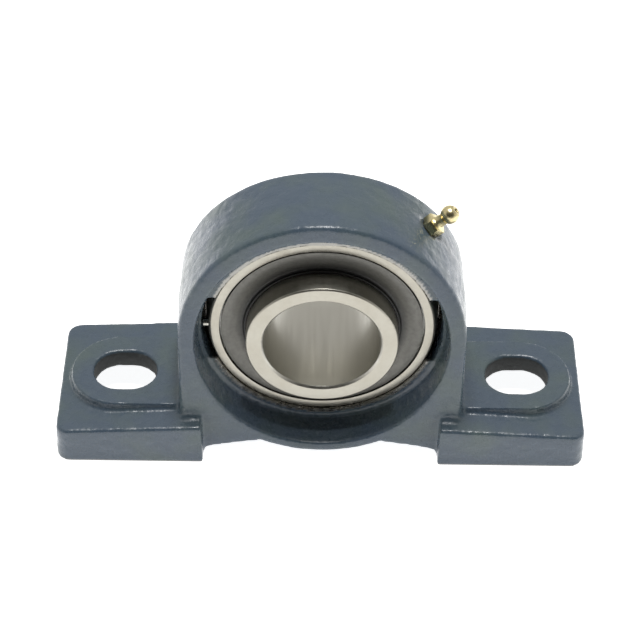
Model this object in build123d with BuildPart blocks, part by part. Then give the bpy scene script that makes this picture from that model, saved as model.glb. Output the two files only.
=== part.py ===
from build123d import *
from math import cos, pi, radians, sin, sqrt, tan
import os

os.makedirs("parts", exist_ok=True)

# A pillow block bearing: a ball bearing insert with a spherical outside, held in a cast-iron
# housing with two slotted feet. Millimetres. The origin is the bearing's centre on the shaft
# axis. X runs along the base, Y along the shaft with the long end of the inner ring at +Y,
# and Z points up. The housing stands on the plane shaft_height below the origin.

# Bearing insert
bore_diameter = 40.0
outside_diameter = 80.0
seat_clearance = 0.02
ball_share = 0.3  # ball diameter against the difference of the two diameters above
ball_count = 9
race_clearance = 0.02
groove_conformity = 0.52
ring_beyond_balls = 4.5
outer_ring_chamfer = 0.5
outer_shoulder_height = 2.42
inner_shoulder_height = 2.02
front_collar = 8.5
rear_collar = 19.7
bore_chamfer = 0.8
inner_ring_chamfer = 0.5
ring_grease_hole_radius = 0.8
ring_grease_hole_count = 3
pin_radius = 1.5
pin_depth = 2.0
pin_clearance = 0.25
pin_edge_radius = 0.4

# Cage
cage_sheet = 0.9
cage_half_height = 1.8
pocket_clearance = 0.12
rivet_radius = 0.8
rivet_head_radius = 1.4
rivet_head_height = 0.5

# Seals and flingers
seal_land = 1.6
seal_recess_depth = 2.2
seal_groove_depth = 0.6
seal_groove_width = 0.7
seal_plate_thickness = 0.6
seal_plate_gap = 0.03
seal_lip_thickness = 1.2
seal_lip_height = 2.05
seal_lip_land = 0.35
seal_lip_relief = 0.6
seal_lip_clearance = 0.05
flinger_sheet = 0.8
flinger_inset = 0.2
flinger_rim_gap = 0.6
flinger_rim_width = 1.4
flinger_dish = 0.9
flinger_bend = 0.8
flinger_collar_rise = 0.6

# Set screws
set_screw_radius = 4.0
set_screw_clearance = 0.03
set_screw_proud = 2.3
set_screw_setback = 0.3
set_screw_from_end = 8.0
set_screw_spread = 62.0
set_screw_key = 4.0
set_screw_key_depth = 3.6
set_screw_point = 1.1

# Housing: head
floor_under_seat = 9.2
mouth_step = 3.5
head_wall = 6.2
rib_overhang = 0.7
mouth_depth = 7.9
head_draft = 1.5
face_lean = 4.9
head_edge_radius = 1.8
head_root_radius = 2.2
ring_foot_clearance = 1.3
web_set_out = 3.6
mouth_draft = 10.0
mouth_rim_radius = 0.9
notch_clearance = 3.5
notch_depth = 1.2
grease_line = 4.5
grease_groove_width = 6.0
grease_groove_depth = 1.2

# Housing: base and feet
foot_under_head = 8.7
foot_beyond_web = 5.2
foot_beyond_slot = 12.4
foot_height_outer = 14.0
foot_rise = 2.7
base_draft = 2.0
base_corner_radius = 5.2
foot_inner_radius = 1.2
foot_edge_radius = 1.3
slot_from_head = 19.8
slot_length = 22.0
slot_width = 18.0
slot_rim_radius = 1.0
boss_rise = 4.0
boss_inside_face = 1.1
boss_draft = 14.0
foot_wall = 6.0
foot_pocket_depth = 10.2
pocket_inner_wall = 5.0
pocket_corner_radius = 5.0
arch_rise = 7.4
arch_rise_at_foot = 2.2

# Grease nipple
nipple_angle = 47.0
spot_face_radius = 5.2
spot_face_depth = 0.5
nipple_thread_radius = 3.0
nipple_shank_length = 5.5
nipple_thread_clearance = 0.04
nipple_hexagon = 7.0
nipple_hexagon_height = 3.2
nipple_neck_radius = 2.1
nipple_head_radius = 3.2
nipple_head_centre = 8.6
nipple_tip_radius = 1.9
nipple_tip_height = 11.4
nipple_bore_radius = 1.35
nipple_mouth_radius = 0.8
nipple_ledge_radius = 0.7
nipple_ledge_height = 0.8
check_ball_radius = 1.15
check_ball_gap = 0.02
spring_wire = 0.3
spring_gap = 0.03
spring_turns = 7

# How far a cutting shape runs past the face it starts from, and how close two equal sizes are
cut_margin = 2.0
tolerance = 0.01

# Worked out from the sizes above: bearing insert
seat_radius = outside_diameter / 2
bore_radius = bore_diameter / 2
insert_radius = seat_radius - seat_clearance
pitch_radius = (bore_diameter + outside_diameter) / 4
ball_diameter = ball_share * (outside_diameter - bore_diameter)
ball_radius = ball_diameter / 2
ball_step = 360 / ball_count
groove_radius = groove_conformity * ball_diameter
outer_race_radius = pitch_radius + ball_radius + race_clearance
inner_race_radius = pitch_radius - ball_radius - race_clearance
inner_ring_radius = inner_race_radius + inner_shoulder_height
outer_shoulder_radius = outer_race_radius - outer_shoulder_height
ring_half_width = ball_radius + ring_beyond_balls
ring_edge_radius = sqrt(insert_radius**2 - ring_half_width**2)
front_reach = ring_half_width + front_collar
rear_reach = ring_half_width + rear_collar
cage_inner_radius = pitch_radius - cage_half_height
cage_outer_radius = pitch_radius + cage_half_height
cage_cup_radius = ball_radius + pocket_clearance

seal_recess_radius = outer_shoulder_radius + seal_land
seal_groove_radius = seal_recess_radius + seal_groove_depth
seal_shoulder = ring_half_width - seal_recess_depth - seal_groove_width
seal_plate_line = seal_shoulder + seal_groove_width / 2
seal_plate_outer_radius = seal_groove_radius - seal_plate_gap
seal_lip_outer_radius = inner_ring_radius + seal_lip_height
seal_lip_tip_radius = inner_ring_radius + seal_lip_clearance
seal_lip_outer_face = seal_plate_line + seal_plate_thickness / 2
seal_lip_inner_face = seal_lip_outer_face - seal_lip_thickness
flinger_rim_radius = seal_recess_radius - flinger_rim_gap
flinger_dish_radius = flinger_rim_radius - flinger_rim_width
flinger_outer_face = ring_half_width - flinger_inset
flinger_trough = flinger_outer_face - flinger_dish
collar_radius = inner_ring_radius + flinger_sheet
collar_end = flinger_trough + flinger_bend + flinger_collar_rise

race_half_width = sqrt(groove_radius**2 - (outer_shoulder_radius - outer_race_radius + groove_radius) ** 2)
ring_grease_hole_line = (race_half_width + seal_shoulder) / 2
pin_line = -(race_half_width + ring_half_width) / 2
pin_foot_radius = insert_radius - pin_depth
set_screw_line = rear_reach - set_screw_from_end
set_screw_angles = (0, set_screw_spread)
set_screw_length = inner_ring_radius + set_screw_proud - bore_radius - set_screw_setback

# Worked out from the sizes above: housing
shaft_height = seat_radius + floor_under_seat
base_z = -shaft_height
mouth_radius = seat_radius + mouth_step
head_radius = mouth_radius + head_wall
seat_rib_half_width = ring_half_width + rib_overhang
head_half_width = seat_rib_half_width + mouth_depth
web_half_width = head_half_width + web_set_out
lean = tan(radians(face_lean))
head_reach = head_half_width + lean * shaft_height + cut_margin
ring_low_radius = shaft_height - ring_foot_clearance
notch_radius = seat_radius + notch_depth
notch_half_height = ring_half_width + notch_clearance
grease_groove_radius = seat_radius + grease_groove_depth - seat_clearance
seat_edge_radius = sqrt(seat_radius**2 - seat_rib_half_width**2)
ledge_radius = mouth_radius - mouth_depth * tan(radians(mouth_draft))
mouth_end_radius = ledge_radius + (head_reach - seat_rib_half_width) * tan(radians(mouth_draft))

foot_inner_end = head_radius - foot_under_head
slot_line = head_radius + slot_from_head
slot_end_line = slot_line + (slot_length - slot_width) / 2
foot_outer_end = slot_line + slot_length / 2 + foot_beyond_slot
foot_middle = (foot_inner_end + foot_outer_end) / 2
base_width = 2 * (web_half_width + foot_beyond_web)
foot_height_inner = foot_height_outer + foot_rise
boss_height = foot_height_outer + boss_rise
boss_half_width = head_half_width - boss_inside_face
pocket_inner_end = foot_inner_end + pocket_inner_wall
pocket_outer_end = foot_outer_end - foot_wall
arch_side_slope = arch_rise_at_foot / 3
back_of_parting = Plane(origin=(0, 0, 0), x_dir=(-1, 0, 0), z_dir=(0, 1, 0))


def radial_plane(angle, radius, y):
    """A plane across a radius of the bearing: angle in degrees from +Z towards +X."""
    out = Vector(sin(radians(angle)), 0, cos(radians(angle)))
    return Plane(origin=out * radius + Vector(0, y, 0), x_dir=(0, 1, 0), z_dir=out)


def head_edge_radius_at(plane_y):
    """Radius of the drafted head at a distance from the parting plane."""
    return head_radius - abs(plane_y) * tan(radians(head_draft))


# The spot face is cut into the drafted crown where the nipple stands.
spot_face_level = head_edge_radius_at(grease_line + spot_face_radius) - spot_face_depth
nipple_plane = radial_plane(nipple_angle, spot_face_level, grease_line)
nipple_section = Plane(origin=nipple_plane.origin, x_dir=nipple_plane.x_dir, z_dir=nipple_plane.y_dir * -1)
nipple_axis = Axis(nipple_plane.origin, nipple_plane.z_dir)
neck_top = nipple_head_centre - sqrt(nipple_head_radius**2 - nipple_neck_radius**2)
head_top = nipple_head_centre + sqrt(nipple_head_radius**2 - nipple_tip_radius**2)
check_ball_level = nipple_tip_height - check_ball_radius - nipple_mouth_radius
mouth_seat_level = check_ball_level + sqrt((check_ball_radius + check_ball_gap) ** 2 - nipple_mouth_radius**2)
spring_start = nipple_ledge_height - nipple_shank_length + spring_wire / 2 + spring_gap
spring_length = check_ball_level - check_ball_radius - spring_wire / 2 - spring_gap - spring_start
spring_radius = nipple_bore_radius - spring_wire / 2 - spring_gap


# Head of the housing: a round crown on straight sides, drafted both ways from the parting plane
with BuildPart() as head:
    for half in (Plane.XZ, back_of_parting):
        with BuildSketch(half):
            with BuildLine():
                RadiusArc((-head_radius, 0), (head_radius, 0), head_radius)
                Polyline((head_radius, 0), (head_radius, base_z), (-head_radius, base_z), (-head_radius, 0))
            make_face()
        extrude(amount=head_reach, taper=head_draft)
    # Its two faces lean back towards the crown
    for side in (-1, 1):
        split(bisect_by=Plane(origin=(0, side * head_half_width, 0), z_dir=(0, side, lean)), keep=Keep.BOTTOM)
    face_outlines = head.edges().filter_by(
        lambda e: abs(e.center().Y) > seat_rib_half_width and e.center().Z > base_z + foot_height_inner)
    fillet(face_outlines, head_edge_radius)
    # The web under the ring stands back from it, front and rear
    for half in (Plane.XZ, back_of_parting):
        with BuildSketch(half.offset(web_half_width)):
            with Locations((0, base_z)):
                Rectangle(2 * foot_inner_end, 2 * (shaft_height - ring_low_radius * cos(radians(45))))
            Circle(ring_low_radius, mode=Mode.SUBTRACT)
        extrude(amount=head_reach, mode=Mode.SUBTRACT)

# Housing: two feet joined by the head
with BuildPart() as housing:
    for side in (-1, 1):
        with BuildSketch(Plane.XY.offset(base_z)):
            with Locations((side * foot_middle, 0)):
                foot = Rectangle(foot_outer_end - foot_inner_end, base_width)
            fillet(foot.vertices().filter_by(lambda v: abs(v.X) > foot_middle), base_corner_radius)
            fillet(foot.vertices().filter_by(lambda v: abs(v.X) < foot_middle), foot_inner_radius)
        extrude(amount=foot_height_inner, taper=base_draft)
        # The top of the foot falls away to its end
        with BuildSketch(Plane.XZ):
            with BuildLine():
                outer_x, high_z = side * foot_outer_end, base_z + foot_height_inner
                Polyline(
                    (side * foot_inner_end, high_z), (outer_x, base_z + foot_height_outer), (outer_x, high_z),
                    close=True,
                )
            make_face()
        extrude(amount=base_width, both=True, mode=Mode.SUBTRACT)
        foot_top = housing.faces().filter_by(lambda f: f.center().X * side > 0).sort_by(Axis.Z)[-1]
        fillet(foot_top.edges().filter_by(lambda e: abs(e.center().X) > foot_inner_end + foot_inner_radius),
               foot_edge_radius)
    add(head.part)
    # A raised pad round each bolt slot, running into the head
    for side in (-1, 1):
        with BuildSketch(Plane.XY.offset(base_z + foot_height_outer)):
            with Locations((side * slot_end_line, 0)):
                Circle(boss_half_width)
            with Locations((side * slot_end_line / 2, 0)):
                Rectangle(slot_end_line, 2 * boss_half_width)
            Circle(mouth_radius, mode=Mode.SUBTRACT)
        extrude(amount=boss_rise, taper=boss_draft)
    # Cast corner round the root of the head
    fillet(
        housing.edges().filter_by(
            lambda e: foot_inner_end + foot_inner_radius < abs(e.center().X) < head_radius
            and base_z + foot_height_outer < e.center().Z < base_z + boss_height + tolerance
            and abs(e.center().Y) < head_reach
        ),
        head_root_radius,
    )
    # Mouths and the spherical seat between them
    with BuildSketch(Plane.XY):
        with BuildLine():
            Polyline(
                (0, -head_reach), (mouth_end_radius, -head_reach),
                (ledge_radius, -seat_rib_half_width), (seat_edge_radius, -seat_rib_half_width),
            )
            ThreePointArc(
                (seat_edge_radius, -seat_rib_half_width), (seat_radius, 0), (seat_edge_radius, seat_rib_half_width)
            )
            Polyline(
                (seat_edge_radius, seat_rib_half_width), (ledge_radius, seat_rib_half_width),
                (mouth_end_radius, head_reach), (0, head_reach), (0, -head_reach),
            )
        make_face()
    revolve(axis=Axis.Y, mode=Mode.SUBTRACT)
    mouth_rims = housing.edges().filter_by(GeomType.ELLIPSE).filter_by(lambda e: e.length > pi * mouth_radius)
    fillet(mouth_rims, mouth_rim_radius)
    # Two notches in the front of the seat let the insert in sideways
    with BuildSketch(Plane.XZ.offset(seat_rib_half_width)):
        Circle(notch_radius)
        Rectangle(2 * notch_radius, 2 * notch_half_height, mode=Mode.INTERSECT)
    extrude(amount=-seat_rib_half_width, mode=Mode.SUBTRACT)
    # Grease groove round the seat
    with BuildSketch(Plane.XY):
        with Locations((seat_radius, grease_line)):
            Rectangle(2 * grease_groove_depth, grease_groove_width)
    revolve(axis=Axis.Y, mode=Mode.SUBTRACT)
    # Spot face, thread and drilled passage of the grease nipple
    with BuildSketch(nipple_plane):
        Circle(spot_face_radius)
    extrude(amount=head_edge_radius, mode=Mode.SUBTRACT)
    with BuildSketch(nipple_plane):
        Circle(nipple_thread_radius + nipple_thread_clearance)
    extrude(amount=-nipple_shank_length - nipple_thread_clearance, mode=Mode.SUBTRACT)
    with BuildSketch(nipple_plane):
        Circle(nipple_bore_radius)
    extrude(amount=grease_groove_radius - spot_face_level - seat_clearance, mode=Mode.SUBTRACT)
    # Arch under the middle of the base, clear of the ring
    with BuildSketch(Plane.XZ):
        with BuildLine():
            arch_foot = (foot_inner_end - arch_side_slope, base_z + arch_rise_at_foot)
            ThreePointArc((-arch_foot[0], arch_foot[1]), (0, base_z + arch_rise), arch_foot)
            Polyline(arch_foot, (foot_inner_end, base_z), (-foot_inner_end, base_z), (-arch_foot[0], arch_foot[1]))
        make_face()
        Circle(ring_low_radius, mode=Mode.SUBTRACT)
    extrude(amount=head_reach, both=True, mode=Mode.SUBTRACT)
    # Cored hollow under each foot, and the bolt slot through its roof
    for side in (-1, 1):
        with BuildSketch(Plane.XY.offset(base_z)):
            with Locations((side * (pocket_inner_end + pocket_outer_end) / 2, 0)):
                RectangleRounded(pocket_outer_end - pocket_inner_end, base_width - 2 * foot_wall, pocket_corner_radius)
        extrude(amount=foot_pocket_depth, taper=base_draft, mode=Mode.SUBTRACT)
        with BuildSketch(Plane.XY.offset(base_z)):
            with Locations((side * slot_line, 0)):
                SlotOverall(slot_length, slot_width)
        extrude(amount=boss_height, mode=Mode.SUBTRACT)
        rim = housing.faces().sort_by(Axis.Z).filter_by(
            lambda f: abs(f.center().Z - base_z - boss_height) < tolerance and f.center().X * side > 0
        )[0]
        fillet(rim.inner_wires()[0].edges(), slot_rim_radius)

housing.part.label = "housing"
export_step(housing.part, "parts/housing.step")

# Grease nipple: threaded shank, hexagon, neck and ball head, turned about the nipple's own axis
with BuildPart() as grease_nipple:
    with BuildSketch(nipple_plane):
        RegularPolygon(nipple_hexagon / 2, 6, major_radius=False)
    extrude(amount=nipple_hexagon_height)
    with BuildSketch(nipple_section):
        with BuildLine():
            Polyline(
                (0, -nipple_shank_length), (nipple_thread_radius, -nipple_shank_length), (nipple_thread_radius, 0),
                (nipple_neck_radius, nipple_hexagon_height), (nipple_neck_radius, neck_top),
            )
            ThreePointArc(
                (nipple_neck_radius, neck_top), (nipple_head_radius, nipple_head_centre), (nipple_tip_radius, head_top)
            )
            Polyline((nipple_tip_radius, head_top), (nipple_tip_radius, nipple_tip_height), (0, nipple_tip_height),
                     (0, -nipple_shank_length))
        make_face()
    revolve(axis=nipple_axis)
    with BuildSketch(nipple_section):
        with BuildLine():
            Polyline(
                (0, -nipple_shank_length), (nipple_ledge_radius, -nipple_shank_length),
                (nipple_ledge_radius, nipple_ledge_height - nipple_shank_length),
                (nipple_bore_radius, nipple_ledge_height - nipple_shank_length),
                (nipple_bore_radius, mouth_seat_level), (nipple_mouth_radius, mouth_seat_level),
                (nipple_mouth_radius, nipple_tip_height), (0, nipple_tip_height), (0, -nipple_shank_length),
            )
        make_face()
    revolve(axis=nipple_axis, mode=Mode.SUBTRACT)

grease_nipple.part.label = "grease_nipple"
export_step(grease_nipple.part, "parts/grease_nipple.step")

with BuildPart() as nipple_check_ball:
    with Locations(nipple_plane.offset(check_ball_level)):
        Sphere(check_ball_radius)

nipple_check_ball.part.label = "nipple_check_ball"
export_step(nipple_check_ball.part, "parts/nipple_check_ball.step")

with BuildPart() as nipple_spring:
    with BuildLine():
        spring_foot = nipple_plane.offset(spring_start)
        coil = Helix(
            spring_length / spring_turns, spring_length, spring_radius,
            center=spring_foot.origin, direction=spring_foot.z_dir,
        )
    with BuildSketch(Plane(origin=coil @ 0, z_dir=coil % 0)):
        Circle(spring_wire / 2)
    sweep(is_frenet=True)

nipple_spring.part.label = "nipple_spring"
export_step(nipple_spring.part, "parts/nipple_spring.step")

# Outer ring
with BuildPart() as outer_ring:
    with BuildSketch(Plane.XY):
        with BuildLine():
            ThreePointArc((ring_edge_radius, -ring_half_width), (insert_radius, 0), (ring_edge_radius, ring_half_width))
            Polyline(
                (ring_edge_radius, ring_half_width), (seal_recess_radius, ring_half_width),
                (seal_recess_radius, ring_half_width - seal_recess_depth),
                (seal_groove_radius, ring_half_width - seal_recess_depth),
                (seal_groove_radius, seal_shoulder), (outer_shoulder_radius, seal_shoulder),
                (outer_shoulder_radius, -seal_shoulder), (seal_groove_radius, -seal_shoulder),
                (seal_groove_radius, seal_recess_depth - ring_half_width),
                (seal_recess_radius, seal_recess_depth - ring_half_width), (seal_recess_radius, -ring_half_width),
                (ring_edge_radius, -ring_half_width),
            )
        make_face()
        with Locations((outer_race_radius - groove_radius, 0)):
            Circle(groove_radius, mode=Mode.SUBTRACT)
    revolve(axis=Axis.Y)
    outer_corners = outer_ring.edges().filter_by(GeomType.CIRCLE).filter_by(
        lambda e: abs(e.radius - ring_edge_radius) < tolerance)
    chamfer(outer_corners, outer_ring_chamfer)
    for number in range(ring_grease_hole_count):
        with BuildSketch(radial_plane(number * 360 / ring_grease_hole_count, seat_radius, ring_grease_hole_line)):
            Circle(ring_grease_hole_radius)
        extrude(amount=outer_shoulder_radius - seat_radius - cut_margin, mode=Mode.SUBTRACT)
    # Blind hole for the pin that stands in the housing's left notch
    with BuildSketch(radial_plane(-90, pin_foot_radius, pin_line)):
        Circle(pin_radius)
    extrude(amount=pin_depth + pin_clearance, mode=Mode.SUBTRACT)

outer_ring.part.label = "outer_ring"
export_step(outer_ring.part, "parts/outer_ring.step")

with BuildPart() as locating_pin:
    with BuildSketch(radial_plane(-90, pin_foot_radius, pin_line)):
        Circle(pin_radius)
    extrude(amount=notch_radius - pin_clearance - pin_foot_radius)
    fillet(locating_pin.edges().sort_by(Axis.X)[0], pin_edge_radius)

locating_pin.part.label = "locating_pin"
export_step(locating_pin.part, "parts/locating_pin.step")

# Inner ring, longer to the rear where the set screws are
with BuildPart() as inner_ring:
    with BuildSketch(Plane.XY):
        with BuildLine():
            Polyline(
                (bore_radius, -front_reach), (inner_ring_radius, -front_reach), (inner_ring_radius, rear_reach),
                (bore_radius, rear_reach), close=True,
            )
        make_face()
        with Locations((inner_race_radius + groove_radius, 0)):
            Circle(groove_radius, mode=Mode.SUBTRACT)
    revolve(axis=Axis.Y)
    ends = inner_ring.edges().filter_by(GeomType.CIRCLE).filter_by(
        lambda e: e.arc_center.Y < tolerance - front_reach or e.arc_center.Y > rear_reach - tolerance)
    chamfer(ends.filter_by(lambda e: e.radius < bore_radius + tolerance), bore_chamfer)
    chamfer(ends.filter_by(lambda e: e.radius > inner_ring_radius - tolerance), inner_ring_chamfer)
    for angle in set_screw_angles:
        with BuildSketch(radial_plane(angle, bore_radius - cut_margin, set_screw_line)):
            Circle(set_screw_radius + set_screw_clearance)
        extrude(amount=inner_ring_radius - bore_radius + 2 * cut_margin, mode=Mode.SUBTRACT)

inner_ring.part.label = "inner_ring"
export_step(inner_ring.part, "parts/inner_ring.step")

# Set screws, drawn back clear of the shaft
for name, angle in zip(("set_screw_top", "set_screw_side"), set_screw_angles):
    outer_end = radial_plane(angle, bore_radius + set_screw_setback + set_screw_length, set_screw_line)
    with BuildPart() as set_screw:
        with BuildSketch(outer_end):
            Circle(set_screw_radius)
        extrude(amount=-set_screw_length)
        point = set_screw.edges().sort_by_distance((0, set_screw_line, 0)).filter_by(GeomType.CIRCLE)[0]
        chamfer(point, set_screw_point)
        with BuildSketch(outer_end):
            RegularPolygon(set_screw_key / 2, 6, major_radius=False)
        extrude(amount=-set_screw_key_depth, mode=Mode.SUBTRACT)
    set_screw.part.label = name
    export_step(set_screw.part, f"parts/{name}.step")

# Balls
for number in range(ball_count):
    with BuildPart() as ball:
        with Locations(radial_plane(number * ball_step, pitch_radius, 0)):
            Sphere(ball_radius)
    ball.part.label = f"ball_{number + 1}"
    export_step(ball.part, f"parts/ball_{number + 1}.step")

# Cage: two pressed halves with a cup round each ball, meeting between the balls
for name, half in (("cage_front", Plane.XZ), ("cage_rear", back_of_parting)):
    with BuildPart(half) as cage:
        with BuildSketch(half):
            Circle(cage_outer_radius)
            Circle(cage_inner_radius, mode=Mode.SUBTRACT)
        extrude(amount=cage_sheet)
        with PolarLocations(pitch_radius, ball_count, start_angle=90):
            Sphere(cage_cup_radius + cage_sheet)
        with BuildSketch(half):
            Circle(cage_outer_radius)
            Circle(cage_inner_radius, mode=Mode.SUBTRACT)
        extrude(amount=ball_diameter, mode=Mode.INTERSECT)
        with PolarLocations(pitch_radius, ball_count, start_angle=90):
            Sphere(cage_cup_radius, mode=Mode.SUBTRACT)
        with BuildSketch(half):
            with PolarLocations(pitch_radius, ball_count, start_angle=90 + ball_step / 2):
                Circle(rivet_radius)
        extrude(amount=cage_sheet, mode=Mode.SUBTRACT)
    cage.part.label = name
    export_step(cage.part, f"parts/{name}.step")

with BuildPart() as cage_rivets:
    rivet_reach = cage_sheet + rivet_head_height
    for start, height, radius in (
        (-rivet_reach, rivet_head_height, rivet_head_radius),
        (-cage_sheet, 2 * cage_sheet, rivet_radius),
        (cage_sheet, rivet_head_height, rivet_head_radius),
    ):
        with BuildSketch(Plane.XZ.offset(start)):
            with PolarLocations(pitch_radius, ball_count, start_angle=90 + ball_step / 2):
                Circle(radius)
        extrude(amount=height)

cage_rivets.part.label = "cage_rivets"
export_step(cage_rivets.part, "parts/cage_rivets.step")

# Seals and flingers, the same at both ends
for name, side in (("front", -1), ("rear", 1)):
    with BuildPart() as seal_plate:
        with BuildSketch(Plane.XY):
            with Locations(((seal_lip_outer_radius + seal_plate_outer_radius) / 2, side * seal_plate_line)):
                Rectangle(seal_plate_outer_radius - seal_lip_outer_radius, seal_plate_thickness)
        revolve(axis=Axis.Y)
    seal_plate.part.label = f"{name}_seal_plate"
    export_step(seal_plate.part, f"parts/{name}_seal_plate.step")

    with BuildPart() as seal_lip:
        with BuildSketch(Plane.XY):
            with BuildLine():
                Polyline(
                    (seal_lip_outer_radius, side * seal_lip_inner_face),
                    (seal_lip_outer_radius, side * seal_lip_outer_face),
                    (seal_lip_tip_radius, side * seal_lip_outer_face),
                    (seal_lip_tip_radius, side * (seal_lip_outer_face - seal_lip_land)),
                    (seal_lip_tip_radius + seal_lip_relief, side * seal_lip_inner_face), close=True,
                )
            make_face()
        revolve(axis=Axis.Y)
    seal_lip.part.label = f"{name}_seal_lip"
    export_step(seal_lip.part, f"parts/{name}_seal_lip.step")

    with BuildPart() as flinger:
        with BuildSketch(Plane.XY):
            with BuildLine():
                rim_y, trough_y = side * flinger_outer_face, side * flinger_trough
                back_rim_y = side * (flinger_outer_face - flinger_sheet)
                back_trough_y = side * (flinger_trough - flinger_sheet)
                bend_radius = collar_radius + flinger_bend
                Line((flinger_rim_radius, rim_y), (flinger_dish_radius, rim_y))
                Spline((flinger_dish_radius, rim_y), (bend_radius, trough_y), tangents=((-1, 0), (-1, 0)))
                RadiusArc((bend_radius, trough_y), (collar_radius, side * (flinger_trough + flinger_bend)),
                          side * flinger_bend)
                Polyline(
                    (collar_radius, side * (flinger_trough + flinger_bend)), (collar_radius, side * collar_end),
                    (inner_ring_radius, side * collar_end), (inner_ring_radius, back_trough_y + side * flinger_bend),
                    (inner_ring_radius + flinger_bend, back_trough_y), (bend_radius, back_trough_y),
                )
                Spline((bend_radius, back_trough_y), (flinger_dish_radius, back_rim_y), tangents=((1, 0), (1, 0)))
                Polyline((flinger_dish_radius, back_rim_y), (flinger_rim_radius, back_rim_y),
                         (flinger_rim_radius, rim_y))
            make_face()
        revolve(axis=Axis.Y)
    flinger.part.label = f"{name}_flinger"
    export_step(flinger.part, f"parts/{name}_flinger.step")
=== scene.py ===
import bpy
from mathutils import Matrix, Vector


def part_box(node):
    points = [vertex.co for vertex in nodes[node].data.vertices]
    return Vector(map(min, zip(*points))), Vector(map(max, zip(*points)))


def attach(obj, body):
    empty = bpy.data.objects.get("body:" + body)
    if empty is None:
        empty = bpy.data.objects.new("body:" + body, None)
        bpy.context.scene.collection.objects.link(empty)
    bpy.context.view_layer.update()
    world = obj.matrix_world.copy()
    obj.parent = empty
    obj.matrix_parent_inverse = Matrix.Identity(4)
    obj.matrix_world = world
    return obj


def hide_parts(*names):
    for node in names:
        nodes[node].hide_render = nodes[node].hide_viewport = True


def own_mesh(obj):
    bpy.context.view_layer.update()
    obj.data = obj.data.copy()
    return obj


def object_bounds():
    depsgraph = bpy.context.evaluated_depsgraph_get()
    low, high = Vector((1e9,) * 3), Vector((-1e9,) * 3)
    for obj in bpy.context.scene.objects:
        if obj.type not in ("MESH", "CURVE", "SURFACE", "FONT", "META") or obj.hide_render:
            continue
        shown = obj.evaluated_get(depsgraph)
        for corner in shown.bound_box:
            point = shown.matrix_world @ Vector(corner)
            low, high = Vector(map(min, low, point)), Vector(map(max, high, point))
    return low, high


bl_info = {
    "name": "Pillow block bearing",
    "version": (1, 0, 0),
    "blender": (4, 5, 0),
    "location": "View3D > Sidebar > Bearing",
    "description": "Dresses the cast housing, bearing insert and grease nipple of a pillow block",
    "category": "Object",
}

from math import atan2, cos, degrees, pi, radians, sin, sqrt

import bmesh
import bpy
from bpy.props import FloatProperty, FloatVectorProperty, IntProperty, PointerProperty
from mathutils import Matrix, Vector, noise
from mathutils.bvhtree import BVHTree

# The frame: X along the base, Y along the shaft with the set screws at +Y, Z up, the origin at
# the bearing's centre. Everything below is in metres.
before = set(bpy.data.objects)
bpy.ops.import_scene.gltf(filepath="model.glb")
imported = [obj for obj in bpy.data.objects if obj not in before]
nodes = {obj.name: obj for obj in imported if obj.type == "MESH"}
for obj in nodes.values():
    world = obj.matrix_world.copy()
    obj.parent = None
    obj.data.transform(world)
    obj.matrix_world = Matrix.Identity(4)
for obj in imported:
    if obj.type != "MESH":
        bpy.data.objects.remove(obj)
cad_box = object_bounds()
MM = 0.001

# Degrees round the shaft from the top, seen from the front
SCREW_ANGLES = {"top": 0.0, "side": 62.0}
NIPPLE_ANGLE = 47.0


def linear(code):
    """An sRGB hex colour as linear red, green and blue."""
    channels = [int(code[i:i + 2], 16) / 255 for i in (1, 3, 5)]
    return tuple(c / 12.92 if c <= 0.04045 else ((c + 0.055) / 1.055) ** 2.4 for c in channels)


def colour_property(name, description, code):
    return FloatVectorProperty(name=name, description=description, subtype="COLOR", size=3,
                               min=0.0, max=1.0, default=linear(code))


def length_property(name, description, millimetres):
    return FloatProperty(name=name, description=description, unit="LENGTH", min=0.0, precision=5,
                         default=millimetres * MM)


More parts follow.
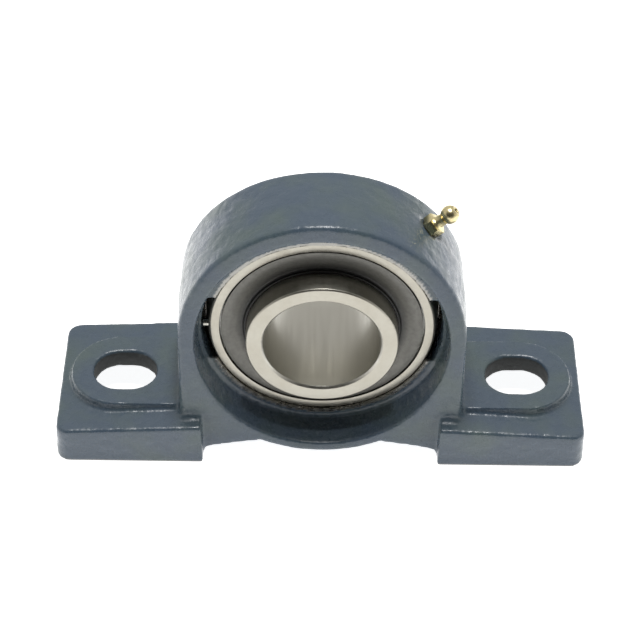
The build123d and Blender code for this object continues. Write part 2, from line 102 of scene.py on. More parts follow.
class BearingSizes(bpy.types.PropertyGroup):
    """Sizes of the pieces that the operators make."""

    casting_step: length_property("Casting mesh step", "Spacing of the cast skin's mesh", 0.8)
    casting_swell: length_property("Casting swell", "Depth of the cast skin's wide unevenness", 0.16)
    casting_grain: length_property("Casting grain", "Depth of the sand grain that is real shape", 0.17)
    edge_crispness: FloatProperty(name="Edge crispness", default=0.6, min=0.0, max=1.0,
                                  description="How far the skin goes back to the pattern's edges")
    slot_line: length_property("Slot line", "From the middle to each bolt slot's centre", 69.5)
    slot_half_length: length_property("Slot half length", "Half a slot along X, and a margin", 11.4)
    slot_half_width: length_property("Slot half width", "Half a slot along Y, and a margin", 9.4)
    slot_height: length_property("Slot height", "From the base to the top of a slot's wall", 17.1)
    slot_start: length_property("Slot start", "Where the slots' bare walls begin along X", 56.0)
    seat_radius: length_property("Seat radius", "Radius of the spherical seat", 40.0)
    seat_half_width: length_property("Seat half width", "Half the width of the seat rib", 11.2)
    insert_radius: length_property("Insert radius", "Radius of the outer ring's round outside", 39.98)
    ring_half_width: length_property("Outer ring half width", "Half the width of the outer ring", 10.5)
    bore_radius: length_property("Bore radius", "Radius of the shaft bore", 20.0)
    bore_chamfer: length_property("Bore chamfer", "Chamfer at each end of the bore", 0.8)
    edge_chamfer: length_property("Ring chamfer", "Chamfer on the rings' outer edges", 0.5)
    screw_line: length_property("Screw line", "From the middle to the set screws along Y", 22.2)
    inner_ring_radius: length_property("Inner ring radius", "Outside radius of the inner ring", 26.0)
    front_reach: length_property("Front reach", "How far the inner ring reaches to the front", 19.0)
    rear_reach: length_property("Rear reach", "How far the inner ring reaches to the rear", 30.2)
    pitch_radius: length_property("Pitch radius", "Radius of the circle of the balls' centres", 30.0)
    groove_offset: length_property("Groove offset", "From that circle to a race groove's centre", 0.22)
    groove_radius: length_property("Groove radius", "Radius of the race grooves' cross-section", 6.24)
    corner_radius: length_property("Ground corner", "Rounding on the ground rings' corners", 0.15)
    turning_steps: IntProperty(name="Turning steps", description="Sides of a turned piece",
                               default=192, min=24)


class BearingColours(bpy.types.PropertyGroup):
    """Colours of the finishes."""

    paint: colour_property("Paint", "Enamel on the casting", "#424F5C")
    paint_thin: colour_property("Thin paint", "Enamel where it is thin or dusty", "#4B5856")
    bare_iron: colour_property("Bare iron", "Machined iron of the base and the seat", "#8B8A86")
    scale_iron: colour_property("Scaled iron", "Unpainted walls of the bolt slots", "#3C3E3D")
    ring_steel: colour_property("Ring steel", "Ground faces of the rings", "#A19E94")
    ring_film: colour_property("Ring film", "The rings where an oil film dulls them", "#959084")
    honed_steel: colour_property("Honed steel", "The shaft bore", "#B5B3AB")
    flinger: colour_property("Flinger", "Pressed plate over the seal", "#6C6B66")
    flinger_fleck: colour_property("Flinger fleck", "Darker flecks in the plate", "#5B5A56")
    # Painted shade: the colour of the dark ring where the flingers' trough beside the inner ring lies
    # in shade
    trough_painted_shade: colour_property("Trough oil", "Oil beside the inner ring", "#2A2A29")
    rubber: colour_property("Rubber", "Seal lips", "#161616")
    rubber_bloom: colour_property("Rubber bloom", "Paler patches of the seal lips", "#242424")
    seal_sheet: colour_property("Seal sheet", "Zinc-plated plates under the lips", "#9A9A96")
    brass: colour_property("Brass", "Grease nipple", "#DDD0A2")
    screw: colour_property("Screw black", "Set screws", "#202124")
    spring_wire: colour_property("Spring wire", "Spring in the nipple", "#A9A9A6")
    check_ball: colour_property("Check ball", "Ball in the nipple's mouth", "#D8D8D6")
    balls: colour_property("Balls", "The nine bearing balls", "#DADAD8")
    cage: colour_property("Cage", "The pressed halves of the cage", "#8F8E8A")
    rivets: colour_property("Rivets", "Rivets of the cage", "#A5A4A0")
    pin: colour_property("Pin", "Locating pin of the outer ring", "#B4B2AA")
    floor: colour_property("Floor", "The floor under the bearing", "#F4F4F4")


def sizes():
    return bpy.context.scene.bearing_sizes


def colours():
    return bpy.context.scene.bearing_colours


# Materials


def add_node(material, kind, settings=None, links=None):
    """Adds a node, fills in its sockets or settings, and links outputs to its inputs."""
    node = material.node_tree.nodes.new(kind)
    for key, value in (settings or {}).items():
        if isinstance(key, int) or key in node.inputs:
            node.inputs[key].default_value = value
        else:
            setattr(node, key, value)
    for socket, source in (links or {}).items():
        material.node_tree.links.new(source, node.inputs[socket])
    return node


def new_material(name, **settings):
    """A material with one shader, and the object's own coordinates to lay patterns on."""
    material = bpy.data.materials.new(name)
    material.use_nodes = True
    shader = material.node_tree.nodes["Principled BSDF"]
    for socket, value in settings.items():
        shader.inputs[socket.replace("_", " ")].default_value = value
    place = add_node(material, "ShaderNodeTexCoord").outputs["Object"]
    return material, shader, place


def opaque(colour):
    return (*colour, 1.0)


def speckle(material, place, size, detail=2.0):
    """Noise whose patches are about size metres across, from 0 to 1."""
    return add_node(material, "ShaderNodeTexNoise", {"Scale": 1 / size, "Detail": detail},
                    {"Vector": place}).outputs["Fac"]


def remap(material, value, low, high, to_low, to_high):
    return add_node(material, "ShaderNodeMapRange",
                    {"From Min": low, "From Max": high, "To Min": to_low, "To Max": to_high},
                    {"Value": value}).outputs["Result"]


def blend_colours(material, share, first, second):
    """A mix of two colours or colour outputs."""
    settings, links = {"data_type": "RGBA"}, {0: share}
    for slot, colour in ((6, first), (7, second)):
        if isinstance(colour, bpy.types.NodeSocket):
            links[slot] = colour
        else:
            settings[slot] = opaque(colour)
    return add_node(material, "ShaderNodeMix", settings, links).outputs[2]


def bumps(material, shader, heights):
    """Chains a bump for each (height output, depth in metres) into the shader's normal."""
    normal = None
    for height, depth in heights:
        links = {"Height": height}
        if normal is not None:
            links["Normal"] = normal
        bump = add_node(material, "ShaderNodeBump", {"Strength": 1.0, "Distance": depth}, links)
        normal = bump.outputs["Normal"]
    material.node_tree.links.new(normal, shader.inputs["Normal"])


def around_axis(material, place):
    """The radius from the shaft axis, and that radius with the distance along the axis as one
    vector, which turned marks follow."""
    parts = add_node(material, "ShaderNodeSeparateXYZ", {}, {"Vector": place})
    across = add_node(material, "ShaderNodeCombineXYZ", {},
                      {"X": parts.outputs["X"], "Y": parts.outputs["Z"]})
    length = add_node(material, "ShaderNodeVectorMath", {"operation": "LENGTH"},
                      {0: across.outputs["Vector"]})
    radius = length.outputs["Value"]
    turned_place = add_node(material, "ShaderNodeCombineXYZ", {},
                            {"X": radius, "Y": parts.outputs["Y"]})
    return radius, turned_place.outputs["Vector"]


def sand_cast_enamel():
    """Alkyd enamel sprayed on sand-cast grey iron: semi-gloss, with the mould's grain under it."""
    tint = colours()
    material, shader, place = new_material("sand_cast_enamel", IOR=1.5)
    # Moulding sand is 0.3 to 0.5 mm. It is drawn at 0.9 mm, the least that shows in the render.
    grain = speckle(material, place, 0.9 * MM, 1.0)
    peel = speckle(material, place, 2.6 * MM, 1.0)
    cloud = speckle(material, place, 17 * MM, 3.0)
    thin = remap(material, cloud, 0.42, 0.68, 0.0, 0.75)
    paint = blend_colours(material, thin, tint.paint, tint.paint_thin)
    # The mesh says where it is machined or unpainted
    machined = add_node(material, "ShaderNodeAttribute", {"attribute_name": "machined"}).outputs["Fac"]
    scaled = add_node(material, "ShaderNodeAttribute", {"attribute_name": "scaled"}).outputs["Fac"]
    iron = blend_colours(material, scaled, paint, tint.scale_iron)
    finish = blend_colours(material, machined, iron, tint.bare_iron)
    links = material.node_tree.links
    links.new(finish, shader.inputs["Base Color"])
    gloss = remap(material, peel, 0.3, 0.7, 0.22, 0.36)
    rough = add_node(material, "ShaderNodeMath", {"operation": "MAXIMUM"},
                     {0: gloss, 1: remap(material, scaled, 0.0, 1.0, 0.0, 0.75)}).outputs["Value"]
    links.new(rough, shader.inputs["Roughness"])
    links.new(remap(material, machined, 0.0, 1.0, 0.0, 0.9), shader.inputs["Metallic"])
    bumps(material, shader, [(peel, 0.20 * MM), (grain, 0.05 * MM)])
    return material


def ground_bearing_steel():
    """Through-hardened chrome bearing steel, ground round its axis: bright, with fine rings."""
    material, shader, place = new_material("ground_bearing_steel", Metallic=1.0)
    tint = colours()
    radius, turned_place = around_axis(material, place)
    # Grinding marks are a few hundredths of a millimetre apart. They are drawn at 0.3 mm.
    lines = speckle(material, turned_place, 0.3 * MM, 2.0)
    # Wiping along the shaft leaves faint streaks that way
    squeezed = add_node(material, "ShaderNodeVectorMath",
                        {"operation": "MULTIPLY", 1: (1.0, 0.06, 1.0)}, {0: place})
    streaks = speckle(material, squeezed.outputs["Vector"], 1.3 * MM, 2.0)
    film = speckle(material, place, 9 * MM, 3.0)
    links = material.node_tree.links
    shade = blend_colours(material, remap(material, film, 0.4, 0.75, 0.0, 0.5),
                          tint.ring_steel, tint.ring_film)
    # The bore is honed brighter than the faces beside it
    honed = remap(material, radius, 20.3 * MM, 20.9 * MM, 1.0, 0.0)
    links.new(blend_colours(material, honed, shade, tint.honed_steel), shader.inputs["Base Color"])
    links.new(remap(material, streaks, 0.3, 0.7, 0.3, 0.42), shader.inputs["Roughness"])
    bumps(material, shader, [(streaks, 0.0005 * MM), (lines, 0.0004 * MM)])
    return material


def phosphated_pressing():
    """Pressed steel sheet with a dark phosphate finish, and painted shade in the trough beside the
    ring.
    """
    material, shader, place = new_material("phosphated_pressing", Metallic=0.55)
    tint = colours()
    radius, _ = around_axis(material, place)
    # Painted shade: the plate is painted dark towards the inner ring, where the trough lies in shade
    oil = remap(material, radius, 27.0 * MM, 29.8 * MM, 1.0, 0.0)
    fleck = speckle(material, place, 1.2 * MM, 3.0)
    plate = blend_colours(material, remap(material, fleck, 0.3, 0.7, 0.0, 0.4),
                          tint.flinger, tint.flinger_fleck)
    links = material.node_tree.links
    links.new(blend_colours(material, oil, plate, tint.trough_painted_shade), shader.inputs["Base Color"])
    links.new(remap(material, fleck, 0.3, 0.7, 0.42, 0.55), shader.inputs["Roughness"])
    bumps(material, shader, [(fleck, 0.02 * MM)])
    return material


def plain_metal(name, colour, roughness, mark_size, mark_depth, shade=0.8):
    """A metal whose finish is one colour, lightly clouded, with small marks in its surface. Real
    marks are finer than 0.1 mm, so they are drawn mark_size across to show at all."""
    material, shader, place = new_material(name, Metallic=1.0)
    marks = speckle(material, place, mark_size, 3.0)
    darker = tuple(channel * shade for channel in colour)
    links = material.node_tree.links
    links.new(blend_colours(material, remap(material, marks, 0.35, 0.7, 0.0, 1.0), colour, darker),
              shader.inputs["Base Color"])
    links.new(remap(material, marks, 0.3, 0.7, roughness * 0.8, roughness * 1.2),
              shader.inputs["Roughness"])
    bumps(material, shader, [(marks, mark_depth)])
    return material


def nitrile_rubber():
    """Moulded black nitrile rubber: matt, with a faint mould texture."""
    material, shader, place = new_material("nitrile_rubber", IOR=1.52)
    skin = speckle(material, place, 0.5 * MM, 2.0)
    tint = colours()
    links = material.node_tree.links
    links.new(blend_colours(material, skin, tint.rubber, tint.rubber_bloom),
              shader.inputs["Base Color"])
    links.new(remap(material, skin, 0.3, 0.7, 0.55, 0.7), shader.inputs["Roughness"])
    bumps(material, shader, [(skin, 0.02 * MM)])
    return material


# Mesh helpers


def finish_piece(name, bm, body, material, stands_for=(), sharp=30.0):
    """Turns a bmesh into a piece of the object that rides on its CAD body."""
    bmesh.ops.remove_doubles(bm, verts=bm.verts, dist=1e-6)
    bmesh.ops.recalc_face_normals(bm, faces=bm.faces)
    mesh = bpy.data.meshes.new(name)
    bm.to_mesh(mesh)
    bm.free()
    piece = bpy.data.objects.new(name, mesh)
    bpy.context.scene.collection.objects.link(piece)
    mesh.materials.append(material)
    mesh.shade_smooth()
    mesh.set_sharp_from_angle(angle=radians(sharp))
    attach(piece, body)
    if stands_for:
        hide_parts(*stands_for)
    return piece


def outline(bm, moves):
    """Draws a closed outline in the plane of radius and axis. A move is a point (radius, along), or
    (centre radius, centre along, turn in degrees, steps) for an arc from the last point."""
    first = last = bm.verts.new((*moves[0], 0.0))
    for move in moves[1:]:
        if len(move) == 2:
            last = bmesh.ops.extrude_vert_indiv(bm, verts=[last])["verts"][0]
            last.co = (*move, 0.0)
        else:
            made = bmesh.ops.spin(bm, geom=[last], cent=(move[0], move[1], 0.0), axis=(0, 0, 1),
                                  angle=radians(move[2]), steps=move[3])
            last = [v for v in made["geom_last"] if isinstance(v, bmesh.types.BMVert)][0]
    bm.edges.new((last, first))


def corners(bm, least=25.0):
    """Edges of a turned shape where its faces meet at more than least degrees."""
    return [e for e in bm.edges if len(e.link_faces) == 2 and e.calc_face_angle(0.0) > radians(least)]


def turned(moves, corner, steps=None):
    """A turned shape: the outline spun round the Y axis, with its corners rounded."""
    bm = bmesh.new()
    outline(bm, moves)
    bmesh.ops.spin(bm, geom=bm.verts[:] + bm.edges[:], cent=(0, 0, 0), axis=(0, 1, 0),
                   angle=2 * pi, steps=steps or sizes().turning_steps, use_merge=True)
    bmesh.ops.remove_doubles(bm, verts=bm.verts, dist=1e-7)
    bmesh.ops.bevel(bm, geom=corners(bm), offset=corner, segments=2, profile=0.5,
                    affect="EDGES", material=-1)
    return bm


def arc_turn(centre, start, end):
    """Degrees turned about centre from start to end, the short way."""
    first = atan2(start[1] - centre[1], start[0] - centre[0])
    last = atan2(end[1] - centre[1], end[0] - centre[0])
    return (degrees(last - first) + 180.0) % 360.0 - 180.0


def dress(material, *names):
    """Gives CAD nodes a better material, and leaves their shapes as they are."""
    for name in names:
        slots = nodes[name].data.materials
        slots.clear()
        slots.append(material)


# Operators


class Making:
    """What every operator here shares."""

    bl_options = {"REGISTER", "UNDO"}


class BEARING_OT_casting(Making, bpy.types.Operator):
    """Makes the housing's cast skin: rounded edges, uneven surface, machined seat and base"""

    bl_idname = "bearing.casting"
    bl_label = "Cast housing"

    def execute(self, context):
        size = sizes()
        bm = bmesh.new()
        bm.from_mesh(nodes["housing"].data)
        bmesh.ops.remove_doubles(bm, verts=bm.verts, dist=1e-6)
        bmesh.ops.recalc_face_normals(bm, faces=bm.faces)
        true_shape = BVHTree.FromBMesh(bm)
        rough = bpy.data.meshes.new("rough_casting")
        bm.to_mesh(rough)
        bm.free()
        blank = bpy.data.objects.new("rough_casting", rough)
        context.scene.collection.objects.link(blank)
        remesh = blank.modifiers.new("skin", "REMESH")
        remesh.mode, remesh.voxel_size, remesh.adaptivity = "VOXEL", size.casting_step, 0.0
        graph = context.evaluated_depsgraph_get()
        skin = bpy.data.meshes.new_from_object(blank.evaluated_get(graph))
        bpy.data.objects.remove(blank)

        bm = bmesh.new()
        bm.from_mesh(skin)
        machined = bm.verts.layers.float.new("machined")
        scaled = bm.verts.layers.float.new("scaled")
        low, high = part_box("housing")
        for _ in range(2):
            bmesh.ops.smooth_vert(bm, verts=bm.verts, factor=0.5,
                                  use_axis_x=True, use_axis_y=True, use_axis_z=True)
        bm.normal_update()
        shifts = []
        for vert in bm.verts:
            place, out = vert.co.copy(), vert.normal.copy()
            nearest, face_normal, _, _ = true_shape.find_nearest(place)
            on_seat = (abs(nearest.y) < size.seat_half_width + 0.1 * MM
                       and nearest.length < size.seat_radius + 1.4 * MM)
            underside = nearest.z < low.z + 0.1 * MM
            in_slot = (abs(face_normal.z) < 0.5 and nearest.z < low.z + size.slot_height
                       and abs(nearest.y) < size.slot_half_width and abs(nearest.x) > size.slot_start
                       and abs(abs(nearest.x) - size.slot_line) < size.slot_half_length)
            vert[machined] = 1.0 if on_seat or underside else 0.0
            vert[scaled] = 1.0 if in_slot else 0.0
            if on_seat or underside:
                shifts.append(nearest)
                continue
            # The shifts to other parts of the noise keep the finer waves apart from the wider
            swell = (noise.noise(place / (14 * MM))
                     + 0.5 * noise.noise(place / (6 * MM) + Vector((7, 3, 1))))
            pebble = (noise.noise(place / (3.4 * MM))
                      + 0.4 * noise.noise(place / (2.4 * MM) + Vector((2, 9, 4))))
            # Taking a little off each wave keeps the skin within the solid
            depth = (size.casting_swell * (swell - 0.8) * 0.5
                     + size.casting_grain * (pebble - 0.9) * 0.5)
            shifts.append(place.lerp(nearest, size.edge_crispness) + out * depth)
        seat = size.seat_radius + 0.04 * MM
        for vert, moved in zip(bm.verts, shifts):
            vert.co = moved
            if abs(moved.y) < size.seat_half_width and moved.length < seat:
                vert.co = moved.normalized() * seat
            for axis in range(3):
                vert.co[axis] = min(max(vert.co[axis], low[axis]), high[axis])
        finish_piece("housing_casting", bm, "housing", sand_cast_enamel(),
                     ["housing"], sharp=50.0)
        return {"FINISHED"}


class BEARING_OT_rings(Making, bpy.types.Operator):
    """Turns the outer ring and the inner ring with its two screw holes"""

    bl_idname = "bearing.rings"
    bl_label = "Ground rings"

    def execute(self, context):
        size = sizes()
        steel = ground_bearing_steel()
        half = size.ring_half_width
        chamfer = size.edge_chamfer
        edge = sqrt(size.insert_radius**2 - half**2) - chamfer
        sphere_end = (sqrt(size.insert_radius**2 - (half - chamfer)**2), half - chamfer)
        recess, shoulder, groove_wall = 35.2 * MM, 33.6 * MM, 35.8 * MM
        recess_y, shoulder_y = half - 2.2 * MM, half - 2.9 * MM
        race = (size.pitch_radius - size.groove_offset, 0.0)
        race_y = sqrt(size.groove_radius**2 - (shoulder - race[0])**2)
        moves = [
            (edge, half), sphere_end,
            (0.0, 0.0, arc_turn((0, 0), sphere_end, (sphere_end[0], -sphere_end[1])), 28),
            (edge, -half), (recess, -half), (recess, -recess_y), (groove_wall, -recess_y),
            (groove_wall, -shoulder_y), (shoulder, -shoulder_y), (shoulder, -race_y),
            (*race, arc_turn(race, (shoulder, -race_y), (shoulder, race_y)), 16),
            (shoulder, shoulder_y), (groove_wall, shoulder_y), (groove_wall, recess_y),
            (recess, recess_y), (recess, half),
        ]
        bm = turned(moves, size.corner_radius)
        finish_piece("outer_ring_turned", bm, "outer_race", steel, ["outer_ring"])

        radius, bore = size.inner_ring_radius, size.bore_radius
        race = (size.pitch_radius + size.groove_offset, 0.0)
        race_y = sqrt(size.groove_radius**2 - (race[0] - radius)**2)
        front, rear = -size.front_reach, size.rear_reach
        inner, outer = size.bore_chamfer, size.edge_chamfer
        moves = [
            (bore, front + inner), (bore + inner, front), (radius - outer, front),
            (radius, front + outer), (radius, -race_y),
            (*race, arc_turn(race, (radius, -race_y), (radius, race_y)), 16),
            (radius, rear - outer), (radius - outer, rear), (bore + inner, rear),
            (bore, rear - inner),
        ]
        bm = turned(moves, size.corner_radius)
        ring = finish_piece("inner_ring_turned", bm, "inner_race", steel, ["inner_ring"])
        drills = []
        drill_radius, drill_length, drill_level = 4.03 * MM, 12 * MM, 23 * MM
        for angle in SCREW_ANGLES.values():
            hole = bmesh.new()
            bmesh.ops.create_cone(hole, cap_ends=True, segments=48, radius1=drill_radius,
                                  radius2=drill_radius, depth=drill_length)
            bmesh.ops.translate(hole, verts=hole.verts, vec=(0, 0, drill_level))
            bmesh.ops.rotate(hole, verts=hole.verts, cent=(0, 0, 0),
                             matrix=Matrix.Rotation(radians(angle), 3, "Y"))
            bmesh.ops.translate(hole, verts=hole.verts, vec=(0, size.screw_line, 0))
            mesh = bpy.data.meshes.new("drill")
            hole.to_mesh(mesh)
            hole.free()
            drill = bpy.data.objects.new("drill", mesh)
            context.scene.collection.objects.link(drill)
            drills.append(drill)
            cut = ring.modifiers.new("screw_hole", "BOOLEAN")
            cut.operation, cut.solver, cut.object = "DIFFERENCE", "EXACT", drill
        graph = context.evaluated_depsgraph_get()
        drilled = bpy.data.meshes.new_from_object(ring.evaluated_get(graph))
        ring.modifiers.clear()
        ring.data = drilled
        drilled.shade_smooth()
        drilled.set_sharp_from_angle(angle=radians(30))
        for drill in drills:
            bpy.data.objects.remove(drill)
        return {"FINISHED"}


class BEARING_OT_seals(Making, bpy.types.Operator):
    """Presses the two dished flingers and dresses the seals behind them"""

    bl_idname = "bearing.seals"
    bl_label = "Flingers and seals"

    def execute(self, context):
        size = sizes()
        sheet, bend = 0.8 * MM, 0.8 * MM
        rim, dish = 34.6 * MM, 33.2 * MM
        face = size.ring_half_width - 0.2 * MM
        trough = face - 0.9 * MM
        shaft = size.inner_ring_radius + 0.01 * MM
        collar = size.inner_ring_radius + sheet
        collar_end = trough + bend + 0.6 * MM
        # The dish falls from the rim to the trough in a soft S
        slope = []
        for i in range(11):
            t = i / 10
            slope.append((dish + (collar + bend - dish) * t, (trough - face) * t * t * (3 - 2 * t)))
        plate = phosphated_pressing()
        for name, side in (("front", -1), ("rear", 1)):
            moves = [(rim, side * face), *((r, side * (face + fall)) for r, fall in slope),
                     (collar + bend, side * (trough + bend), -side * 90.0, 6),
                     (collar, side * collar_end), (shaft, side * collar_end),
                     (shaft, side * (trough - sheet + bend)),
                     (size.inner_ring_radius + bend, side * (trough - sheet)),
                     *((r, side * (face - sheet + fall)) for r, fall in reversed(slope)),
                     (rim, side * (face - sheet))]
            finish_piece(f"{name}_flinger_pressed", turned(moves, 0.12 * MM), "inner_race",
                         plate, [f"{name}_flinger"])
        dress(nitrile_rubber(), "front_seal_lip", "rear_seal_lip")
        # Zinc plating is pale grey and slightly dull
        dress(plain_metal("zinc_plated_sheet", colours().seal_sheet, 0.4, 1.5 * MM, 0.01 * MM),
              "front_seal_plate", "rear_seal_plate")
        return {"FINISHED"}


class BEARING_OT_nipple(Making, bpy.types.Operator):
    """Turns the brass grease nipple with its hexagon, neck and ball head"""

    bl_idname = "bearing.nipple"
    bl_label = "Grease nipple"

    def execute(self, context):
        tint = colours()
        # Where it stands on the head: height from the shaft axis, and place along Y
        foot, stand_y = 48.946 * MM, 4.5 * MM
        axis = Vector((sin(radians(NIPPLE_ANGLE)), 0.0, cos(radians(NIPPLE_ANGLE))))
        across = Vector((0.0, 1.0, 0.0))
        # Turned about Y first, then stood on the crown of the housing
        neck, head, tip, bore, mouth = (r * MM for r in (2.1, 3.2, 1.9, 1.35, 0.8))
        centre, top, hexagon = 8.6 * MM, 11.4 * MM, 3.2 * MM
        neck_top = centre - sqrt(head**2 - neck**2)
        head_top = centre + sqrt(head**2 - tip**2)
        shank, ledge, seat = 5.5 * MM, 0.7 * MM, 10.3 * MM
        head_turn = arc_turn((0, centre), (neck, neck_top), (tip, head_top))
        moves = [(3.0 * MM, -shank), (3.0 * MM, 0.02 * MM), (neck + 0.5 * MM, hexagon),
                 (neck, hexagon + 0.5 * MM), (neck, neck_top), (0.0, centre, head_turn, 14),
                 (tip, top - 0.3 * MM), (tip - 0.3 * MM, top), (mouth + 0.25 * MM, top),
                 (mouth, top - 0.25 * MM), (mouth, seat), (bore, seat - 0.5 * MM),
                 (bore, 0.8 * MM - shank), (ledge, 0.8 * MM - shank), (ledge, -shank)]
        bm = turned(moves, 0.08 * MM, steps=64)
        body = bmesh.new()
        hexagon_radius = 7.0 * MM / sqrt(3)
        bmesh.ops.create_cone(body, cap_ends=True, segments=6, radius1=hexagon_radius,
                              radius2=hexagon_radius, depth=hexagon)
        bmesh.ops.rotate(body, verts=body.verts, cent=(0, 0, 0),
                         matrix=Matrix.Rotation(radians(-90), 3, "X"))
        bmesh.ops.translate(body, verts=body.verts, vec=(0, hexagon / 2, 0))
        bmesh.ops.bevel(body, geom=body.edges[:], offset=0.22 * MM, segments=2, profile=0.5,
                        affect="EDGES", material=-1)
        holder = bpy.data.meshes.new("hexagon")
        body.to_mesh(holder)
        body.free()
        bm.from_mesh(holder)
        stand = Matrix((across.cross(axis), axis, across)).transposed().to_4x4()
        stand.translation = axis * foot + across * stand_y
        bmesh.ops.transform(bm, matrix=stand, verts=bm.verts)
        # Machined brass: pale gold, with soft highlights
        brass = plain_metal("machined_brass", tint.brass, 0.28, 2.5 * MM, 0.01 * MM, shade=0.72)
        finish_piece("grease_nipple_turned", bm, "housing", brass, ["grease_nipple"])
        # The ball is nearly a mirror, and drawing leaves the wire a little duller
        dress(plain_metal("polished_steel_ball", tint.check_ball, 0.12, 2.0 * MM, 0.002 * MM),
              "nipple_check_ball")
        wire = plain_metal("drawn_spring_wire", tint.spring_wire, 0.3, 0.4 * MM, 0.004 * MM)
        coil = bmesh.new()
        coil.from_mesh(nodes["nipple_spring"].data)
        spring = finish_piece("nipple_spring_coiled", coil, "housing", wire,
                              ["nipple_spring"])
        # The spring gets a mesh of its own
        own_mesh(spring)
        return {"FINISHED"}


class BEARING_OT_screws(Making, bpy.types.Operator):
    """Makes the two set screws with their hexagon sockets"""

    bl_idname = "bearing.screws"
    bl_label = "Set screws"

    def execute(self, context):
        # Black oxide is a dark film, with the steel's sheen still in it
        black = plain_metal("black_oxide_screw", colours().screw, 0.38, 0.8 * MM, 0.01 * MM)
        # The outer end stands at end from the shaft axis, and the key is measured across its flats
        end, length, radius, key, depth = (v * MM for v in (28.3, 8.0, 4.0, 4.0, 3.6))
        for name, angle in SCREW_ANGLES.items():
            bm = bmesh.new()
            bmesh.ops.create_circle(bm, cap_ends=False, segments=48, radius=radius - 0.3 * MM)
            socket = bmesh.ops.create_circle(bm, cap_ends=False, segments=6,
                                             radius=key / sqrt(3))["verts"]
            sides = [e for e in bm.edges if e.verts[0] in socket]
            bmesh.ops.subdivide_edges(bm, edges=sides, cuts=7)
            inner = [e for e in bm.edges if all(v.co.length < key * 0.6 for v in e.verts)]
            outer = [e for e in bm.edges if e not in inner]
            bmesh.ops.bridge_loops(bm, edges=inner + outer)
            for ring_edges, profile in ((outer, ((radius, -0.3 * MM), (radius, 1.1 * MM - length),
                                                 (radius - 1.1 * MM, -length))),
                                        (inner, ((None, -depth),))):
                loop = ring_edges
                for wide, z in profile:
                    made = bmesh.ops.extrude_edge_only(bm, edges=loop)["geom"]
                    loop = [e for e in made if isinstance(e, bmesh.types.BMEdge)
                            and all(v in made for v in e.verts)]
                    moved = [v for v in made if isinstance(v, bmesh.types.BMVert)]
                    for v in moved:
                        if wide:
                            v.co.xy = v.co.xy.normalized() * wide
                        v.co.z = z
                bmesh.ops.contextual_create(bm, geom=loop)
            turn = Matrix.Rotation(radians(angle), 4, "Y")
            along = Matrix.Translation((0, sizes().screw_line, 0))
            bmesh.ops.transform(bm, matrix=along @ turn @ Matrix.Translation((0, 0, end)),
                                verts=bm.verts)
            finish_piece(f"set_screw_{name}_cut", bm, "inner_race", black,
                         [f"set_screw_{name}"])
        return {"FINISHED"}


class BEARING_OT_rolling_parts(Making, bpy.types.Operator):
    """Finishes the balls, cage, rivets and locating pin"""

    bl_idname = "bearing.rolling_parts"
    bl_label = "Balls, cage and pin"

    def execute(self, context):
        tint = colours()
        balls = [name for name in nodes if name.startswith("ball_")]
        # Lapped balls are mirrors. Pressed sheet and rivets are duller, and the pin is ground.
        dress(plain_metal("lapped_ball_steel", tint.balls, 0.08, 4.0 * MM, 0.001 * MM, shade=0.95),
              *balls)
        dress(plain_metal("pressed_cage_steel", tint.cage, 0.35, 1.5 * MM, 0.01 * MM),
              "cage_front", "cage_rear")
        dress(plain_metal("upset_rivet_steel", tint.rivets, 0.3, 0.8 * MM, 0.01 * MM), "cage_rivets")
        dress(plain_metal("hardened_pin_steel", tint.pin, 0.25, 1.0 * MM, 0.004 * MM), "locating_pin")
        return {"FINISHED"}


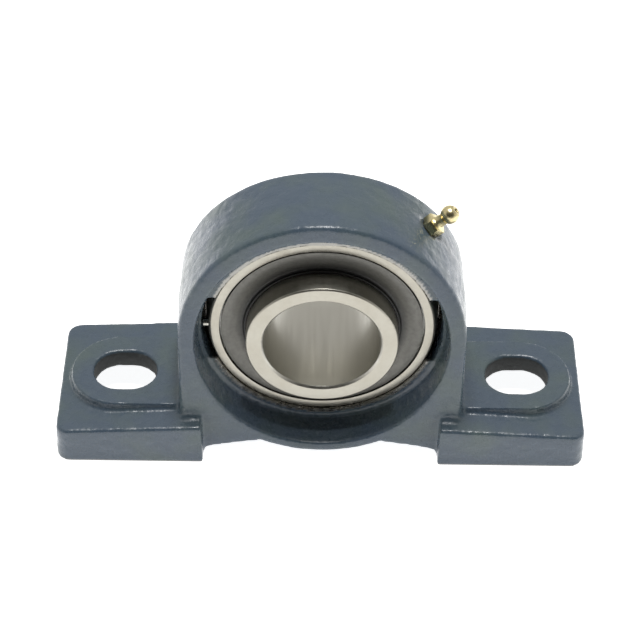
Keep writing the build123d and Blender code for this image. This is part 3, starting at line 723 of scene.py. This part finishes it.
class BEARING_OT_stage(Making, bpy.types.Operator):
    """Sets the floor, the soft lights and the camera"""

    bl_idname = "bearing.stage"
    bl_label = "Floor, lights and camera"

    def execute(self, context):
        scene = context.scene
        bm = bmesh.new()
        bmesh.ops.create_grid(bm, x_segments=1, y_segments=1, size=2.5)
        bmesh.ops.translate(bm, verts=bm.verts, vec=(0, 0, cad_box[0][2]))
        mesh = bpy.data.meshes.new("floor")
        bm.to_mesh(mesh)
        bm.free()
        floor = bpy.data.objects.new("floor", mesh)
        scene.collection.objects.link(floor)
        # Opal acrylic lit from below: it takes the contact shadows away, as in the photograph
        pale = opaque(colours().floor)
        material, _, _ = new_material("opal_light_table", Base_Color=pale, Roughness=0.8,
                                      Emission_Color=pale, Emission_Strength=1.0)
        mesh.materials.append(material)

        # A bright tent all round, but for the open front where the camera stands
        world = bpy.data.worlds.new("studio")
        world.use_nodes = True
        front = Vector((0.0, -0.76, 0.65))
        way = add_node(world, "ShaderNodeTexCoord").outputs["Generated"]
        facing = add_node(world, "ShaderNodeVectorMath", {"operation": "DOT_PRODUCT", 1: front},
                          {0: way})
        glow = add_node(world, "ShaderNodeMapRange",
                        {"interpolation_type": "SMOOTHSTEP", "From Min": cos(radians(62)),
                         "From Max": cos(radians(36)), "To Min": 0.75, "To Max": 0.04},
                        {"Value": facing.outputs["Value"]})
        background = world.node_tree.nodes["Background"]
        background.inputs["Color"].default_value = (1.0, 0.985, 0.955, 1.0)
        world.node_tree.links.new(glow.outputs["Result"], background.inputs["Strength"])
        scene.world = world
        for name, place, width, power in (
            ("overhead_softbox", (0.0, 0.16, 1.2), 0.3, 9.0),
            ("front_lamp", (0.05, -0.14, 1.2), 0.06, 3.0),
        ):
            lamp = bpy.data.lights.new(name, "AREA")
            lamp.shape, lamp.size, lamp.energy = "SQUARE", width, power
            light = bpy.data.objects.new(name, lamp)
            light.location = place
            light.rotation_euler = (-Vector(place)).to_track_quat("-Z", "Y").to_euler()
            scene.collection.objects.link(light)

        # The photograph's view: a long lens, 44 degrees above the shaft axis
        yaw, pitch, roll = 0.006517, -0.760334, 0.017716
        ahead = Vector((sin(yaw) * cos(pitch), cos(yaw) * cos(pitch), sin(pitch)))
        sideways = Vector((cos(yaw), -sin(yaw), 0.0))
        upright = sideways.cross(ahead)
        right = sideways * cos(roll) + upright * sin(roll)
        up = upright * cos(roll) - sideways * sin(roll)
        view = bpy.data.cameras.new("camera")
        view.sensor_width, view.sensor_fit, view.lens = 36.0, "HORIZONTAL", 118.15
        view.clip_start, view.clip_end = 0.01, 20.0
        camera = bpy.data.objects.new("camera", view)
        turn = Matrix((right, up, -ahead)).transposed().to_4x4()
        camera.matrix_world = Matrix.Translation((-4.14 * MM, -528.39 * MM, 496.71 * MM)) @ turn
        scene.collection.objects.link(camera)
        scene.camera = camera
        scene.view_settings.view_transform = "Standard"
        return {"FINISHED"}


class BEARING_PT_panel(bpy.types.Panel):
    """Lists the bearing's operators, sizes and colours in the sidebar"""

    bl_idname = "BEARING_PT_panel"
    bl_label = "Pillow block bearing"
    bl_space_type = "VIEW_3D"
    bl_region_type = "UI"
    bl_category = "Bearing"

    def draw(self, context):
        for operator in OPERATORS:
            self.layout.operator(operator.bl_idname)
        for group in (context.scene.bearing_sizes, context.scene.bearing_colours):
            column = self.layout.column(align=True)
            for name in group.__annotations__:
                column.prop(group, name)


OPERATORS = (BEARING_OT_casting, BEARING_OT_rings, BEARING_OT_seals, BEARING_OT_nipple,
             BEARING_OT_screws, BEARING_OT_rolling_parts, BEARING_OT_stage)
CLASSES = (BearingSizes, BearingColours, *OPERATORS, BEARING_PT_panel)


def register():
    for item in CLASSES:
        bpy.utils.register_class(item)
    bpy.types.Scene.bearing_sizes = PointerProperty(type=BearingSizes)
    bpy.types.Scene.bearing_colours = PointerProperty(type=BearingColours)


def unregister():
    del bpy.types.Scene.bearing_sizes
    del bpy.types.Scene.bearing_colours
    for item in reversed(CLASSES):
        bpy.utils.unregister_class(item)


def main():
    register()
    for operator in OPERATORS:
        family, name = operator.bl_idname.split(".")
        getattr(getattr(bpy.ops, family), name)()


if __name__ == "__main__":
    main()
